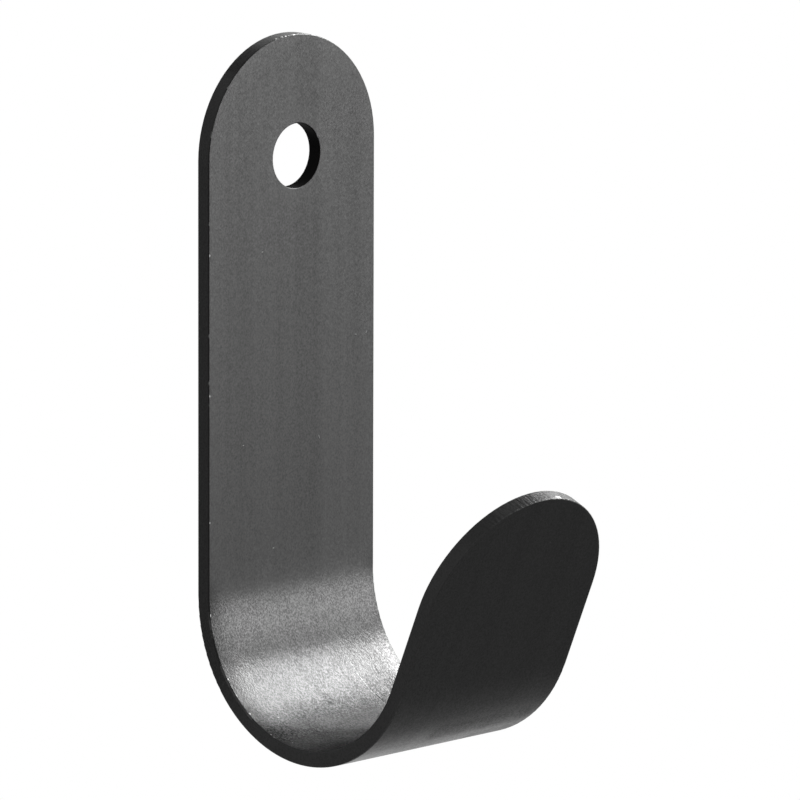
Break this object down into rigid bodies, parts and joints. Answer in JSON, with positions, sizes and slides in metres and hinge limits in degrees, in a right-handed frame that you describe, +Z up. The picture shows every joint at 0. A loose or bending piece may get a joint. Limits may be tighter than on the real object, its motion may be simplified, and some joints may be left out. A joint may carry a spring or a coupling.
{
  "type": "towel hook",
  "caption": "Wall hook for a towel or robe: a flat metal strip with full-round ends, bent into a J, with a screw hole in its plate.",
  "frame": {"origin": "centre of the screw hole on the face that meets the wall", "axes": "+Z up the plate, +Y into the wall, -Y out of the wall towards the arm, +X to the right for someone who faces the wall"},
  "size_m": [0.022, 0.0351, 0.067],
  "materials": {
    "coated_steel": "satin black, finely grained"
  },
  "bodies": {
    "root": {"hook": "coated_steel"}
  },
  "joints": []
}
